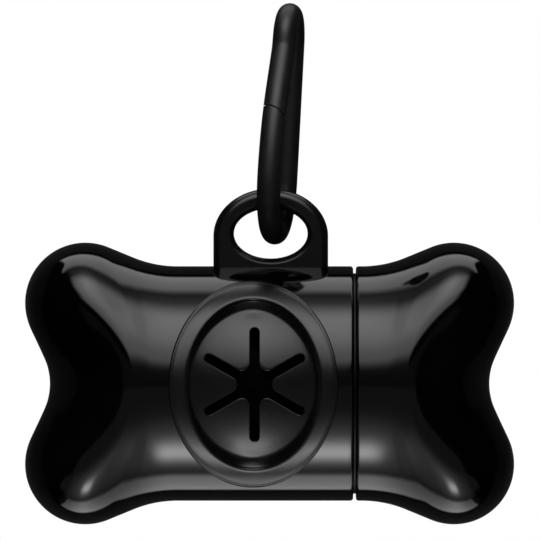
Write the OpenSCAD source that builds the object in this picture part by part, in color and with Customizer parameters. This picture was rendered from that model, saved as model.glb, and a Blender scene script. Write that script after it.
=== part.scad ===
// Bone-shaped dispenser for rolls of dog waste bags, hung from a one-piece sprung carabiner.
// The bone lies along X with the bag outlet in front (-Y) and the lug on top (+Z).
// The origin is the middle of the bone, on the axis of its neck. Sizes are in millimetres.

/* [Bone] */
// Radius of the straight neck, outside
neck_r = 20.4; // [20:0.1:21]
// Distance from the middle of the bone to the bottom of the dip in each end
dip_x = 38.2; // [37.8:0.1:39.5]
// Radius of the dip, as a share of the one that would just touch both lobes
dip_share = 0.81; // [0.7:0.01:0.9]
// Distance from the middle of the bone to the middle of each lobe
lobe_x = 32; // [31.5:0.1:32.5]
// How far the top of a lobe stands above the straight neck
lobe_rise = 4.1; // [3.8:0.1:4.6]
// Radius of each lobe, seen from the front
lobe_r = 10.5; // [10.2:0.1:10.8]
// Distance from the middle of the bone to the ends of the straight neck
neck_half = 16; // [16:0.1:17]
// Radius of the hollow curve where the neck swells into the lobes
flare_r = 20; // [17:0.5:24]
// Distance from the middle of the bone to where the front starts to turn round the end
shoulder_x = 25.8; // [24:0.1:27]
// Squareness of that turn: 2 is an ellipse, more is boxier
shoulder_power = 2.3; // [2:0.1:3]
// How soon a lobe loses its height on its way to the front: 0 is latest
lobe_pinch = 0.2; // [0:0.05:0.5]

/* [Shells] */
// Wall of the straight neck of the main shell
neck_wall = 1.8; // [1.6:0.1:1.9]
// Wall of the lobed ends
lobe_wall = 1.9; // [1.8:0.1:2.2]
// Where the main shell ends, to the right of the middle
mouth_x = 14.5; // [14.2:0.1:14.7]
// Gap between the main shell and the screwed-on cap
joint_gap = 0.8; // [0.7:0.05:0.9]
// Rounding of the shells' outer edges at that gap
edge_r = 0.5; // [0.3:0.1:0.6]

/* [Threaded rings] */
// Wall of the spigot that the cap screws on to
spigot_wall = 1.2; // [1:0.1:1.3]
// How far the spigot stands out of the main shell
spigot_len = 7; // [6:0.5:8]
// How far the collar reaches into the main shell
collar_depth = 3.6; // [3:0.1:3.8]
// Radial room for the thread between the spigot and the cap's ring
thread_room = 0.6; // [0.5:0.05:0.65]
// Wall of the cap's threaded ring
cap_ring_wall = 1; // [0.8:0.05:1.1]
// Width of the collar's flange that shows in the gap
flange_w = 0.5; // [0.4:0.05:0.55]
// How far the flange lies below the neck's surface
flange_sink = 1.1; // [1:0.1:1.4]

/* [Bag outlet] */
// Gap between the outlet's plug and the collar, inside the neck
plug_gap = 0.5; // [0.4:0.1:0.9]
// Width of the bezel
bezel_w = 29.2; // [28:0.2:29.4]
// Height of the bezel, seen from the front
bezel_h = 35.8; // [34.8:0.2:36.4]
// How far the bezel stands proud of the neck
bezel_proud = 0.5; // [0.4:0.1:0.8]
// How far the bezel overlaps the shell round the window
bezel_lap = 1.4; // [1.2:0.1:1.6]
// Depth of the sunk disc's face below the neck's surface
disc_sink = 1.6; // [1.4:0.1:1.8]
// Thickness of the sunk disc
disc_t = 1.4; // [1.2:0.1:1.6]
// Width of the sunk disc
disc_w = 20.6; // [20:0.2:21]
// Height of the sunk disc, seen from the front
disc_h = 25.6; // [24.8:0.2:26]
// Number of slots in the star
slots = 6; // [4:1:7]
// Width of a slot
slot_w = 1.5; // [1.2:0.1:1.8]
// Reach of a slot from the middle of the star
slot_reach = 9.8; // [9:0.1:10]
// Rounding of the tips of the petals between the slots
petal_r = 1; // [0.8:0.1:1.2]

/* [Lug] */
// Width of the lug
lug_w = 19.8; // [19:0.2:21]
// Thickness of the lug
lug_t = 4.6; // [4.2:0.1:4.8]
// Height of the lug above the neck
lug_h = 13.4; // [13:0.1:14]
// Height above the neck at which the lug's arch starts
lug_spring = 5.2; // [4.6:0.1:5.6]
// Middle of the lug, left or right of the middle of the bone
lug_x = 0.2; // [-0.5:0.1:0.8]
// Width of the oval eye
eye_w = 12.8; // [12.4:0.1:13.2]
// Height of the oval eye
eye_h = 8.66; // [8.6:0.02:8.9]
// Height of the eye's middle above the neck
eye_rise = 5.64; // [5.6:0.02:5.8]
// Rounding of the lug's edges
lug_edge_r = 0.8; // [0.6:0.1:1]

/* [Carabiner] */
// Diameter of the carabiner's rod
rod_d = 4.1; // [3.9:0.1:4.2]
// Radius of the bottom bend, to the middle of the rod
bottom_bend_r = 9.25; // [9.1:0.05:9.5]
// Height of the spine between the two bends
spine_h = 24; // [23.5:0.25:25]
// Radius of the top bend, to the middle of the rod
top_bend_r = 4.8; // [4.6:0.1:5]
// Radius of the kink under the top bend
kink_r = 3; // [2.5:0.1:3.5]
// Slant of the nose, from the spine
nose_slant = 31; // [30:0.5:33]
// Height of the slit above the middle of the bottom bend
slit_h = 13; // [12:0.1:13.5]
// Width of the slit
slit_w = 0.38; // [0.35:0.01:0.5]
// Radius of the slit's arch; it runs level into the loop, so that the gate swings in under the nose
slit_arch = 3; // [2.8:0.1:4]
// Slope of the arch across the rod, down to the right
slit_slope = 14; // [0:1:20]
// Gap that stands for the thin web where the gate bends
flex_gap = 0.1; // [0.08:0.01:0.15]
// Angle that the carabiner is turned about the vertical
clip_turn = 9; // [5:1:12]
// Angle that the carabiner leans to the right
clip_lean = 3; // [0:1:4]
// Distance of the bottom bend's middle in front of the lug's middle
clip_front = 2.5; // [2.3:0.05:2.6]
// Distance of the bottom bend's middle to the right of the lug's middle
clip_shift = 0.55; // [0.3:0.05:0.8]
// Gap between the rod's lowest point and the neck of the bone
clip_rise = 3.7; // [3.5:0.05:3.8]

/* [Bag roll] */
// Room round a full roll of bags in the middle of the collar
roll_room = 1.16; // [0.9:0.02:2]
// Length of the roll
roll_len = 57; // [54:0.5:58]
// Bore of the roll's cardboard core
core_bore = 16; // [14:0.5:18]
// Wall of the core
core_wall = 0.9; // [0.7:0.1:1.2]
// Shift of the roll along the bone
roll_x = -0.9; // [-2:0.1:1.5]
// Gap under the roll where it lies in the collar
roll_gap = 0.3; // [0.2:0.05:0.4]

/* [Hidden] */
$fn = 96;

// Clearance between parts that are pressed or glued together
seat_clearance = 0.04;
// Clearance of the cap's ring from the ends of its seat
ring_end_clearance = 0.05;
// How far the collar's flange stands out past the cap's bore, so that the cap stops against it
flange_step = 0.3;
// How far a cutter runs past what it cuts
past = 1;

// Facets of the lobed ends: round the bone, over the dip, over a lobe and over the flare
around = 48;
around_inside = 32;
dip_steps = 4;
lobe_steps = 12;
flare_steps = 4;
// The lobed ends lie this much under the neck's surface and run this far into the neck, so that
// the two meet in a clean step
skin_step = 0.02;
neck_lap = 0.3;
// The neck's bar and bore start this much earlier, so that the step misses the window's edge
neck_lead = 0.05;
// Facets of an oval, of each round end in the star, and of the eye's rounded rims
oval_count = 72;
star_steps = 8;
rim_steps = 4;
// Facets of a small rounded edge, and of the lug's arch
edge_count = 24;
arch_count = 48;
// Facets round the carabiner's rod, and per 180 degrees of its bends
rod_count = 20;
bend_steps = 14;

// Joint between the main shell and the cap
bar_x = neck_half + neck_lead;
cap_x = mouth_x + joint_gap;
bore_r = neck_r - neck_wall;
flange_r = neck_r - flange_sink;
cap_bore_r = flange_r - flange_step;
ring_r = cap_bore_r - seat_clearance;
ring_in_r = ring_r - cap_ring_wall;
spigot_r = ring_in_r - thread_room;
collar_in_r = spigot_r - spigot_wall;

// Outlet: the disc is curved about the neck's axis
disc_r = neck_r - disc_sink;
outlet_x = mouth_x - collar_depth - plug_gap - (bezel_w / 2 - bezel_lap);
outlet_reach = neck_r + 2 * past;

// Lug
lug_top = neck_r + lug_h;
lug_spring_z = neck_r + lug_spring;
eye_z = neck_r + eye_rise;

// Carabiner in its own plane: U runs forward from the spine, V up from the rod's lowest point
rod_r = rod_d / 2;
bend_v = bottom_bend_r + rod_r;
top_v = bend_v + spine_h;
gate_u = 2 * bottom_bend_r;
kink_centre = [2 * top_bend_r + kink_r, top_v];
nose_start = kink_centre - kink_r * [cos(nose_slant), sin(nose_slant)];
// Radius of the long curve of the gate's leg, which runs straight on from the nose
leg_r = (nose_start[0] + (nose_start[1] - bend_v) * tan(nose_slant) - gate_u) / (1 / cos(nose_slant) - 1);
leg_centre = [gate_u - leg_r, bend_v];
slit_angle = asin(slit_h / leg_r);
// How far the two ends at the slit run past it before they are cut off there
slit_run = rod_r / leg_r * 180 / PI;
flex_turn = flex_gap / leg_r * 180 / PI;

// Roll
roll_d = 2 * (collar_in_r - roll_room);
roll_z = roll_d / 2 + roll_gap - collar_in_r;

// ---------- lobed end of the bone ----------
// Its outline is that of the front view, with the wall moved in by inset

lobe_top = neck_r + lobe_rise;
lobe_z = lobe_top - lobe_r;
dip_from_lobe = dip_x - lobe_x;
dip_r = dip_share * (pow(dip_from_lobe, 2) + pow(lobe_z, 2) - pow(lobe_r, 2)) / (2 * (lobe_r - dip_from_lobe));
dip_centre = dip_x + dip_r;

// Angle at which the dip runs straight on into the lobe
dip_angle = atan2(lobe_z, dip_centre - lobe_x)
    - acos((dip_r + lobe_r) / norm([dip_centre - lobe_x, lobe_z]));

// Slope of the straight stretch between the flare and the lobe
flare_rise = neck_r + flare_r - lobe_z;
flare_angle = atan2(lobe_x - neck_half, flare_rise)
    - acos((lobe_r + flare_r) / norm([lobe_x - neck_half, flare_rise]));
lobe_turn = dip_angle + 90 + flare_angle;

function dip_arc(inset) = [
    for (i = [0 : dip_steps])
        let (a = dip_angle * i / dip_steps)
        [dip_centre - (dip_r + inset) * cos(a), (dip_r + inset) * sin(a)]
];

function lobe_arc(inset) = [
    for (i = [0 : lobe_steps])
        let (a = lobe_turn * i / lobe_steps - dip_angle)
        [lobe_x + (lobe_r - inset) * cos(a), lobe_z + (lobe_r - inset) * sin(a)]
];

function flare_arc(inset) = [
    for (i = [0 : flare_steps])
        let (a = flare_angle * (1 - i / flare_steps))
        [neck_half + (flare_r + inset) * sin(a), neck_r + flare_r - (flare_r + inset) * cos(a)]
];

// Points from the bottom of the dip, over the lobe, to the neck and a little way into it
function end_outline(inset) = concat(
    dip_arc(inset), lobe_arc(inset), flare_arc(inset), [[neck_half - neck_lap, neck_r - inset]]
);
top_point = dip_steps + 1 + floor(lobe_steps * (90 + dip_angle) / lobe_turn);

// The same point on the bone's plain front and back, which have no lobes
function plain_point(outline, k, inset) =
    let (
        neck = neck_r - inset,
        r = outline[k][1] * neck / (lobe_top - inset),
        turn = pow(max(0, 1 - pow(r / neck, shoulder_power)), 1 / shoulder_power),
        share = (k - top_point) / (len(outline) - 2 - top_point)
    )
    k > top_point
        ? [max(shoulder_x - (shoulder_x - neck_half) * share, outline[len(outline) - 1][0]), neck]
        : [shoulder_x + (dip_x - inset - shoulder_x) * turn, r];

// Share of the lobed outline at an angle from the front: all of it at the top, none in front
function lobed_share(a) = 1 - lobe_pinch * pow(cos(a), 2) - (1 - lobe_pinch) * pow(cos(a), 4);

function end_ring(outline, k, count, inset) =
    let (lobed = outline[k], plain = plain_point(outline, k, inset))
    [
        for (j = [0 : count - 1])
            let (a = 360 * j / count, at = plain + (lobed - plain) * lobed_share(a))
            [at[0], -at[1] * cos(a), at[1] * sin(a)]
    ];

// Closed solid of the right-hand end, from the end of the straight neck to the dip
module lobed_end(inset, count) {
    outline = end_outline(inset);
    rings = len(outline) - 1;
    points = concat(
        [[dip_x - inset, 0, 0]],
        [for (k = [1 : rings]) each end_ring(outline, k, count, inset)]
    );
    tip = [for (j = [0 : count - 1]) [0, 1 + j, 1 + (j + 1) % count]];
    sides = [
        for (k = [0 : rings - 2], j = [0 : count - 1])
            let (a = 1 + k * count + j, b = 1 + k * count + (j + 1) % count)
            each [[a, a + count, b + count], [a, b + count, b]]
    ];
    neck_end = [for (j = [1 : count]) 1 + rings * count - j];
    polyhedron(points = points, faces = concat(tip, sides, [neck_end]), convexity = 6);
}

// ---------- helpers ----------

module along_x(x0, x1, r) {
    translate([x0, 0, 0]) rotate([0, 90, 0]) cylinder(r = r, h = x1 - x0);
}

function oval_points(w, h) = [
    for (i = [0 : oval_count - 1])
        let (a = 360 * i / oval_count)
        [w / 2 * cos(a), h / 2 * sin(a)]
];

// Oval bar that runs forward from the neck's axis
module oval(w, h) {
    rotate([90, 0, 0]) linear_extrude(outlet_reach) polygon(oval_points(w, h));
}

// Closed solid through a list of rings that each have the same number of points
module skin(rings) {
    count = len(rings[0]);
    last = len(rings) - 1;
    sides = [
        for (k = [0 : last - 1], j = [0 : count - 1])
            let (a = k * count + j, b = k * count + (j + 1) % count)
            each [[a, a + count, b + count], [a, b + count, b]]
    ];
    first_end = [for (j = [0 : count - 1]) j];
    last_end = [for (j = [1 : count]) (last + 1) * count - j];
    polyhedron(
        points = [for (ring = rings) each ring],
        faces = concat([first_end], sides, [last_end]),
        convexity = 6
    );
}

// Round bar along X whose outer edge at x1 is rounded
module rounded_bar(x0, x1, r) {
    rotate([0, 90, 0]) rotate_extrude() {
        translate([0, x0]) square([r, x1 - x0 - edge_r]);
        translate([0, x0]) square([r - edge_r, x1 - x0]);
        translate([r - edge_r, x1 - edge_r]) circle(r = edge_r, $fn = edge_count);
    }
}

// ---------- main shell ----------

module lug_pillars(foot) {
    for (side = [-1, 1], face = [-1, 1])
        translate([side * (lug_w / 2 - lug_edge_r), face * (lug_t / 2 - lug_edge_r), foot])
            cylinder(r = lug_edge_r, h = lug_spring_z - foot, $fn = edge_count);
}

module lug_arch() {
    squash = (lug_top - lug_spring_z) / (lug_w / 2);
    for (face = [-1, 1])
        translate([0, face * (lug_t / 2 - lug_edge_r), lug_spring_z])
            scale([1, 1, squash]) rotate([90, 0, 0]) rotate_extrude($fn = arch_count)
                translate([lug_w / 2 - lug_edge_r, 0]) circle(r = lug_edge_r, $fn = edge_count);
}

// Plate with rounded edges whose foot ends inside the neck's wall
module lug() {
    hull() {
        lug_pillars(neck_r - neck_wall / 2);
        lug_arch();
    }
}

// Section of the eye's cutter at step i of a rim: how far the rim has opened, and how far the
// step lies from the plate's mid-plane
function rim(i) =
    let (a = 90 * i / rim_steps)
    [lug_edge_r * (1 - cos(a)), lug_t / 2 - lug_edge_r * (1 - sin(a))];

// Cutter for the eye, flared so that it rounds the eye's rims
module eye() {
    back = [for (i = [rim_steps : -1 : 0]) rim(i)];
    front = [for (i = [0 : rim_steps]) [rim(i)[0], -rim(i)[1]]];
    section = concat([[lug_edge_r, lug_t]], back, front, [[lug_edge_r, -lug_t]]);
    skin([
        for (at = section)
            [for (p = oval_points(eye_w + 2 * at[0], eye_h + 2 * at[0])) [p[0], at[1], p[1]]]
    ]);
}

// Oval hole in the neck's front wall, or the plug that fills it
module window(clearance) {
    lap = 2 * (bezel_lap + clearance);
    translate([outlet_x, 0, 0]) oval(bezel_w - lap, bezel_h - lap);
}

module main_shell() color([0.02, 0.02, 0.025]) difference() {
    union() {
        mirror([1, 0, 0]) lobed_end(skin_step, around);
        rounded_bar(-bar_x, mouth_x, neck_r);
        translate([lug_x, 0, 0]) lug();
    }
    mirror([1, 0, 0]) lobed_end(lobe_wall, around_inside);
    along_x(-bar_x, mouth_x + past, bore_r);
    translate([lug_x, 0, eye_z]) eye();
    window(0);
}

// ---------- threaded rings ----------

module thread_collar() color([0.03, 0.03, 0.03]) difference() {
    union() {
        along_x(mouth_x - collar_depth, mouth_x, bore_r - seat_clearance);
        along_x(mouth_x, mouth_x + flange_w, flange_r);
        along_x(mouth_x, mouth_x + spigot_len, spigot_r);
    }
    along_x(mouth_x - collar_depth - past, mouth_x + spigot_len + past, collar_in_r);
}

module cap_ring() color([0.03, 0.03, 0.03]) difference() {
    along_x(cap_x + ring_end_clearance, mouth_x + spigot_len, ring_r);
    along_x(cap_x - past, cap_x + spigot_len + past, ring_in_r);
}

// ---------- end cap ----------

module end_cap() color([0.02, 0.02, 0.025]) difference() {
    union() {
        lobed_end(skin_step, around);
        mirror([1, 0, 0]) rounded_bar(-bar_x, -cap_x, neck_r);
    }
    lobed_end(lobe_wall, around_inside);
    along_x(cap_x - past, mouth_x + spigot_len + ring_end_clearance, cap_bore_r);
}

// ---------- outlet insert ----------

function round_end(centre, r, a0, a1) = [
    for (i = [0 : star_steps])
        let (a = a0 + (a1 - a0) * i / star_steps)
        centre + r * [cos(a), sin(a)]
];

// Outline of the opening: a slot with a round end, then the rounded tip of the next petal
function star_outline() =
    let (tip_at = (slot_w / 2 + petal_r) / sin(180 / slots), end_at = slot_reach - slot_w / 2)
    [
        for (i = [0 : slots - 1])
            let (a = 90 + 360 * i / slots, b = a + 180 / slots)
            each concat(
                round_end(end_at * [cos(a), sin(a)], slot_w / 2, a - 90, a + 90),
                round_end(tip_at * [cos(b), sin(b)], petal_r, a + 270, a + 90 + 360 / slots)
            )
    ];

// Oval cone with its tip on the neck's axis, which meets the disc's face at the disc's edge
module dish_cone() {
    face_y = sqrt(pow(disc_r, 2) - pow(disc_h / 2, 2));
    base = oval_points(disc_w * outlet_reach / disc_r, disc_h * outlet_reach / face_y);
    sides = [for (j = [0 : oval_count - 1]) [0, 1 + j, 1 + (j + 1) % oval_count]];
    polyhedron(
        points = concat([[0, 0, 0]], [for (p = base) [p[0], -outlet_reach, p[1]]]),
        faces = concat(sides, [[for (j = [oval_count : -1 : 1]) j]])
    );
}

module outlet_blank() {
    half = bezel_w;
    intersection() {
        translate([outlet_x, 0, 0]) oval(bezel_w, bezel_h);
        along_x(outlet_x - half, outlet_x + half, neck_r + bezel_proud);
    }
}

module outlet_insert() color([0.035, 0.035, 0.04]) difference() {
    outlet_blank();
    // seat of the bezel on the neck, outside the plug
    difference() {
        along_x(outlet_x - bezel_w, outlet_x + bezel_w, neck_r + seat_clearance);
        window(seat_clearance);
    }
    // inside face of the disc
    along_x(outlet_x - bezel_w, outlet_x + bezel_w, disc_r - disc_t);
    // dish, down to the disc's face
    difference() {
        translate([outlet_x, 0, 0]) dish_cone();
        along_x(outlet_x - bezel_w, outlet_x + bezel_w, disc_r);
    }
    translate([outlet_x, 0, 0]) rotate([90, 0, 0]) linear_extrude(outlet_reach) polygon(star_outline());
}

// ---------- carabiner ----------

// Stations along a bend in the UV plane: each is a point of the rod's axis and a unit vector
// that points out of the loop. The side is 1 where the bend curves round the loop, else -1
function bend_path(centre, r, a0, a1, side) =
    let (steps = ceil(abs(a1 - a0) * bend_steps / 180))
    [
        for (i = [0 : steps])
            let (a = a0 + (a1 - a0) * i / steps, out = [cos(a), sin(a)])
            [centre + r * out, side * out]
    ];

// From the gate's root round the bottom, up the spine, over the top and down to the slit.
// The kink starts at the top bend's last station, so its own first one is left out
function frame_path() =
    let (kink = bend_path(kink_centre, kink_r, 180, 180 + nose_slant, -1))
    concat(
        bend_path([bottom_bend_r, bend_v], bottom_bend_r, 360, 180, 1),
        bend_path([top_bend_r, top_v], top_bend_r, 180, 0, 1),
        [for (i = [1 : len(kink) - 1]) kink[i]],
        bend_path(leg_centre, leg_r, nose_slant, slit_angle - slit_run, 1)
    );

function rod_ring(station) = [
    for (j = [0 : rod_count - 1])
        let (a = 360 * j / rod_count, at = station[0] + rod_r * cos(a) * station[1])
        [at[0], at[1], rod_r * sin(a)]
];

// Places its children on the axis of the slit's arch, which runs along U
module at_slit() {
    translate(leg_centre + leg_r * [cos(slit_angle), sin(slit_angle)]) rotate([-slit_slope, 0, 0])
        translate([0, -slit_arch, 0]) children();
}

// Bar whose top is the arch, grown by extra
module slit_bar(extra) {
    at_slit() rotate([0, 90, 0]) cylinder(r = slit_arch + extra, h = 3 * rod_d, center = true);
}

// Stands the UV plane in the eye, as the carabiner hangs there
module hang_clip() {
    translate([lug_x + clip_shift, -clip_front, neck_r + clip_rise])
        rotate([0, clip_lean, 0]) rotate(-90 - clip_turn) rotate([90, 0, 0])
            translate([-bottom_bend_r, 0, 0]) children();
}

module clip_frame() color([0.05, 0.05, 0.05]) hang_clip() difference() {
    skin([for (station = frame_path()) rod_ring(station)]);
    slit_bar(slit_w / 2);
}

module clip_gate() color([0.05, 0.05, 0.05]) hang_clip() difference() {
    translate(leg_centre) rotate(flex_turn) rotate_extrude(angle = slit_angle + slit_run - flex_turn)
        translate([leg_r, 0]) circle(r = rod_r);
    // all above the arch
    difference() {
        at_slit() translate([-rod_d, 0, -rod_d]) cube([2 * rod_d, slit_arch + rod_d, 2 * rod_d]);
        slit_bar(-slit_w / 2);
    }
}

// ---------- bag roll ----------

module bag_roll() color([0.08, 0.08, 0.08]) translate([roll_x, 0, roll_z]) difference() {
    along_x(-roll_len / 2, roll_len / 2, roll_d / 2);
    along_x(-roll_len, roll_len, core_bore / 2 + core_wall + seat_clearance);
}

module roll_core() color([0.6, 0.5, 0.36]) translate([roll_x, 0, roll_z]) difference() {
    along_x(-roll_len / 2, roll_len / 2, core_bore / 2 + core_wall);
    along_x(-roll_len, roll_len, core_bore / 2);
}

main_shell();
thread_collar();
outlet_insert();
end_cap();
cap_ring();
clip_frame();
clip_gate();
bag_roll();
roll_core();
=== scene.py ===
"""Looks of the bone-shaped dispenser for rolls of dog waste bags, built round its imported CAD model.

Sizes are in millimetres, as in the CAD source, and become metres when a mesh is made.
"""

import math

import bpy
import numpy as np
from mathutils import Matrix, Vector


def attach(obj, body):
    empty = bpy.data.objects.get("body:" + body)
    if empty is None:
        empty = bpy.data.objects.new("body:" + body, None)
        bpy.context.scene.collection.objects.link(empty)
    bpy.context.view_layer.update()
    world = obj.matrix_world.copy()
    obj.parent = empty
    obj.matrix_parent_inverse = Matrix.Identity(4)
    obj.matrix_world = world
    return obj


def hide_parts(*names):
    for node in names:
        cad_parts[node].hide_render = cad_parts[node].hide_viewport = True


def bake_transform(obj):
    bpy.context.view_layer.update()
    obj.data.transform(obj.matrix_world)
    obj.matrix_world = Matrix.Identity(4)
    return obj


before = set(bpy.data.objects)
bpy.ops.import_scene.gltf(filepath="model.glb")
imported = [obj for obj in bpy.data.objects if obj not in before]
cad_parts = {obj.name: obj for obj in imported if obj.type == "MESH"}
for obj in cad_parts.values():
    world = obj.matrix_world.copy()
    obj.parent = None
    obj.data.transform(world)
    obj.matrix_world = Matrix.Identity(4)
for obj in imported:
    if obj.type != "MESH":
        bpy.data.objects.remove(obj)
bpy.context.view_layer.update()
MM = 0.001

# ---------- sizes ----------

# They follow the CAD source, apart from some that are fitted to the photograph: CAP_X to the width of
# the joint, PETAL_R and SLOT_REACH to the star, SLIT_W and SLIT_H to the slit, and SHOULDER_X to
# LOBE_BULGE to the highlights. With those the saddle between two lobes lies up to 2.7 mm deeper than
# in the solids.
NECK_R, NECK_HALF, MOUTH_X, CAP_X, EDGE_R = 20.4, 16.0, 14.5, 14.98, 0.5
DIP_X, DIP_R, LOBE_X, LOBE_Z, LOBE_R = 38.2, 11.7, 32.0, 14.0, 10.5
FLARE_R = 20.0
SHOULDER_X, SHOULDER_POWER = 23.5, 1.6
LOBE_PINCH, LOBE_BULGE, BULGE_X, BULGE_RUN = 1.25, 0.36, 24.0, 13.0
BORE_R, CAP_BORE_R, CAP_BORE_END, LOBE_WALL = 18.6, 19.0, 21.55, 1.9
SKIN = 0.035  # keeps the smooth surfaces inside the CAD box
COLLAR_IN_R, COLLAR_END, FLANGE_R = 16.16, 10.9, 19.15
SPIGOT_R, SPIGOT_END, RING_IN_R = 17.36, 21.5, 17.96
THREAD_LEAD, THREAD_STARTS, THREAD_H = 6.0, 2, 0.45
OUTLET_X, BEZEL_W, BEZEL_H, BEZEL_LAP = -2.8, 29.2, 35.8, 1.4
FIT = 0.04  # clearance of pressed pieces
DISC_R, DISC_T, STAR_SHIFT, DISH_SHIFT = 18.8, 1.4, 0.2, -0.2
DISH_START_R, DISH_FALL, DISH_CURVE, HOLLOW_HALF_W = 20.7, 1.9, 40, 11
SLOTS, SLOT_W, SLOT_REACH, PETAL_R = 6, 1.5, 9.75, 1.4
LUG_X, LUG_W, LUG_T, LUG_TOP, LUG_SPRING = 0.2, 19.8, 4.6, 33.8, 25.6
LUG_BASE, LUG_CORNER_R, LUG_RIDGE = 18.75, 1.5, 0.06
EYE_W, EYE_H, EYE_Z = 12.8, 8.66, 26.04
ROD_R, BOTTOM_R, SPINE_H, TOP_R, KINK_R = 2.05, 9.25, 24.0, 4.8, 3.0
SLANT = math.radians(31)
SLIT_H, SLIT_W, SLIT_ARCH = 12.8, 0.09, 3.0
SLIT_SLOPE, SLIT_RISE = math.radians(14), math.radians(6)
CLIP_TURN, CLIP_LEAN = math.radians(-99), math.radians(3)
CLIP_FOOT = (0.75, -2.5, 24.1)
ROLL_R, ROLL_LEN, CORE_R, CORE_BORE_R = 15.0, 57.0, 8.9, 8.0
ROLL_X, ROLL_Z = -0.9, -0.86
PI = math.pi


# ---------- mesh helpers ----------

def add_mesh(name, points, faces, material, sharp=35):
    """A mesh object from points in millimetres, shaded smooth with edges over `sharp` degrees kept."""
    mesh = bpy.data.meshes.new(name)
    mesh.from_pydata((np.asarray(points, float) * MM).tolist(), [], faces)
    mesh.validate()
    mesh.materials.append(material)
    obj = bpy.data.objects.new(name, mesh)
    bpy.context.scene.collection.objects.link(obj)
    shade(obj, sharp)
    return obj


def shade(obj, sharp):
    mesh = obj.data
    mesh.polygons.foreach_set("use_smooth", [True] * len(mesh.polygons))
    mesh.set_sharp_from_angle(angle=math.radians(sharp))
    mesh.update()


def grid(rows, close_rows=False, first_pole=None, last_pole=None, flip=False):
    """Points and faces through rings of equal length; a pole closes an end to a point."""
    rows = [np.asarray(r, float) for r in rows]
    count, height = len(rows[0]), len(rows)
    points = np.vstack(rows)
    faces = []
    for k in range(height if close_rows else height - 1):
        base, over = k * count, (k + 1) % height * count
        for j in range(count):
            n = (j + 1) % count
            faces.append((base + j, over + j, over + n, base + n))
    poles = []
    if first_pole is not None:
        tip = len(points) + len(poles)
        poles.append(first_pole)
        faces += [(tip, j, (j + 1) % count) for j in range(count)]
    if last_pole is not None:
        tip = len(points) + len(poles)
        poles.append(last_pole)
        base = (height - 1) * count
        faces += [(tip, base + (j + 1) % count, base + j) for j in range(count)]
    if poles:
        points = np.vstack([points, np.array(poles, float)])
    if flip:
        faces = [tuple(reversed(f)) for f in faces]
    return points, faces


def outward(points, faces):
    """The faces turned so that the closed mesh has a positive volume."""
    volume = 0.0
    for f in faces:
        a = points[f[0]]
        for i in range(1, len(f) - 1):
            volume += np.dot(a, np.cross(points[f[i]], points[f[i + 1]]))
    return faces if volume > 0 else [tuple(reversed(f)) for f in faces]


def join_lists(parts):
    """One list of points and faces from several."""
    points, faces, base = [], [], 0
    for p, f in parts:
        points.append(np.asarray(p, float))
        faces += [tuple(i + base for i in face) for face in f]
        base += len(p)
    return np.vstack(points), faces


def cut(obj, cutter, sharp):
    """Takes cutter out of obj and removes the cutter."""
    modifier = obj.modifiers.new("cut", "BOOLEAN")
    modifier.operation, modifier.object, modifier.solver = "DIFFERENCE", cutter, "EXACT"
    graph = bpy.context.evaluated_depsgraph_get()
    mesh = bpy.data.meshes.new_from_object(obj.evaluated_get(graph))
    obj.modifiers.clear()
    obj.data = mesh
    bpy.data.objects.remove(cutter)
    shade(obj, sharp)


def arc(a0, a1, steps):
    return [a0 + (a1 - a0) * i / steps for i in range(steps + 1)]


def direction(a):
    return np.array([math.cos(a), math.sin(a)])


# ---------- materials ----------

PLASTIC_IOR = 1.5
# Heights in metres between which the clip's gleam is turned down towards the lug: painted shade on the
# bottom bend
PAINTED_SHADE_Z = 0.0305, 0.0375


def node_material(name):
    material = bpy.data.materials.new(name)
    material.use_nodes = True
    nodes, links = material.node_tree.nodes, material.node_tree.links
    return material, nodes, links, nodes["Principled BSDF"]


def noise(nodes, links, scale, detail=3.0, stretch=None):
    coordinates = nodes.new("ShaderNodeTexCoord")
    texture = nodes.new("ShaderNodeTexNoise")
    texture.inputs["Scale"].default_value = scale
    texture.inputs["Detail"].default_value = detail
    source = coordinates.outputs["Object"]
    if stretch:
        mapping = nodes.new("ShaderNodeMapping")
        mapping.inputs["Scale"].default_value = stretch
        links.new(source, mapping.inputs["Vector"])
        source = mapping.outputs["Vector"]
    links.new(source, texture.inputs["Vector"])
    return texture


def spread(nodes, links, source, low, high, lo_in=0.3, hi_in=0.7):
    node = nodes.new("ShaderNodeMapRange")
    node.inputs["From Min"].default_value, node.inputs["From Max"].default_value = lo_in, hi_in
    node.inputs["To Min"].default_value, node.inputs["To Max"].default_value = low, high
    links.new(source, node.inputs["Value"])
    return node.outputs["Result"]


def tint(nodes, links, source, low, high, lo_in=0.35, hi_in=0.65):
    ramp = nodes.new("ShaderNodeValToRGB")
    ramp.color_ramp.elements[0].position, ramp.color_ramp.elements[1].position = lo_in, hi_in
    ramp.color_ramp.elements[0].color, ramp.color_ramp.elements[1].color = (*low, 1), (*high, 1)
    links.new(source, ramp.inputs["Fac"])
    return ramp.outputs["Color"]


def bumps(nodes, links, layers, shader):
    """Chains bump nodes; each layer is (height output, strength, depth in metres)."""
    normal = None
    for height, strength, depth in layers:
        bump = nodes.new("ShaderNodeBump")
        bump.inputs["Strength"].default_value = strength
        bump.inputs["Distance"].default_value = depth
        links.new(height, bump.inputs["Height"])
        if normal:
            links.new(normal, bump.inputs["Normal"])
        normal = bump.outputs["Normal"]
    links.new(normal, shader.inputs["Normal"])


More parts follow.
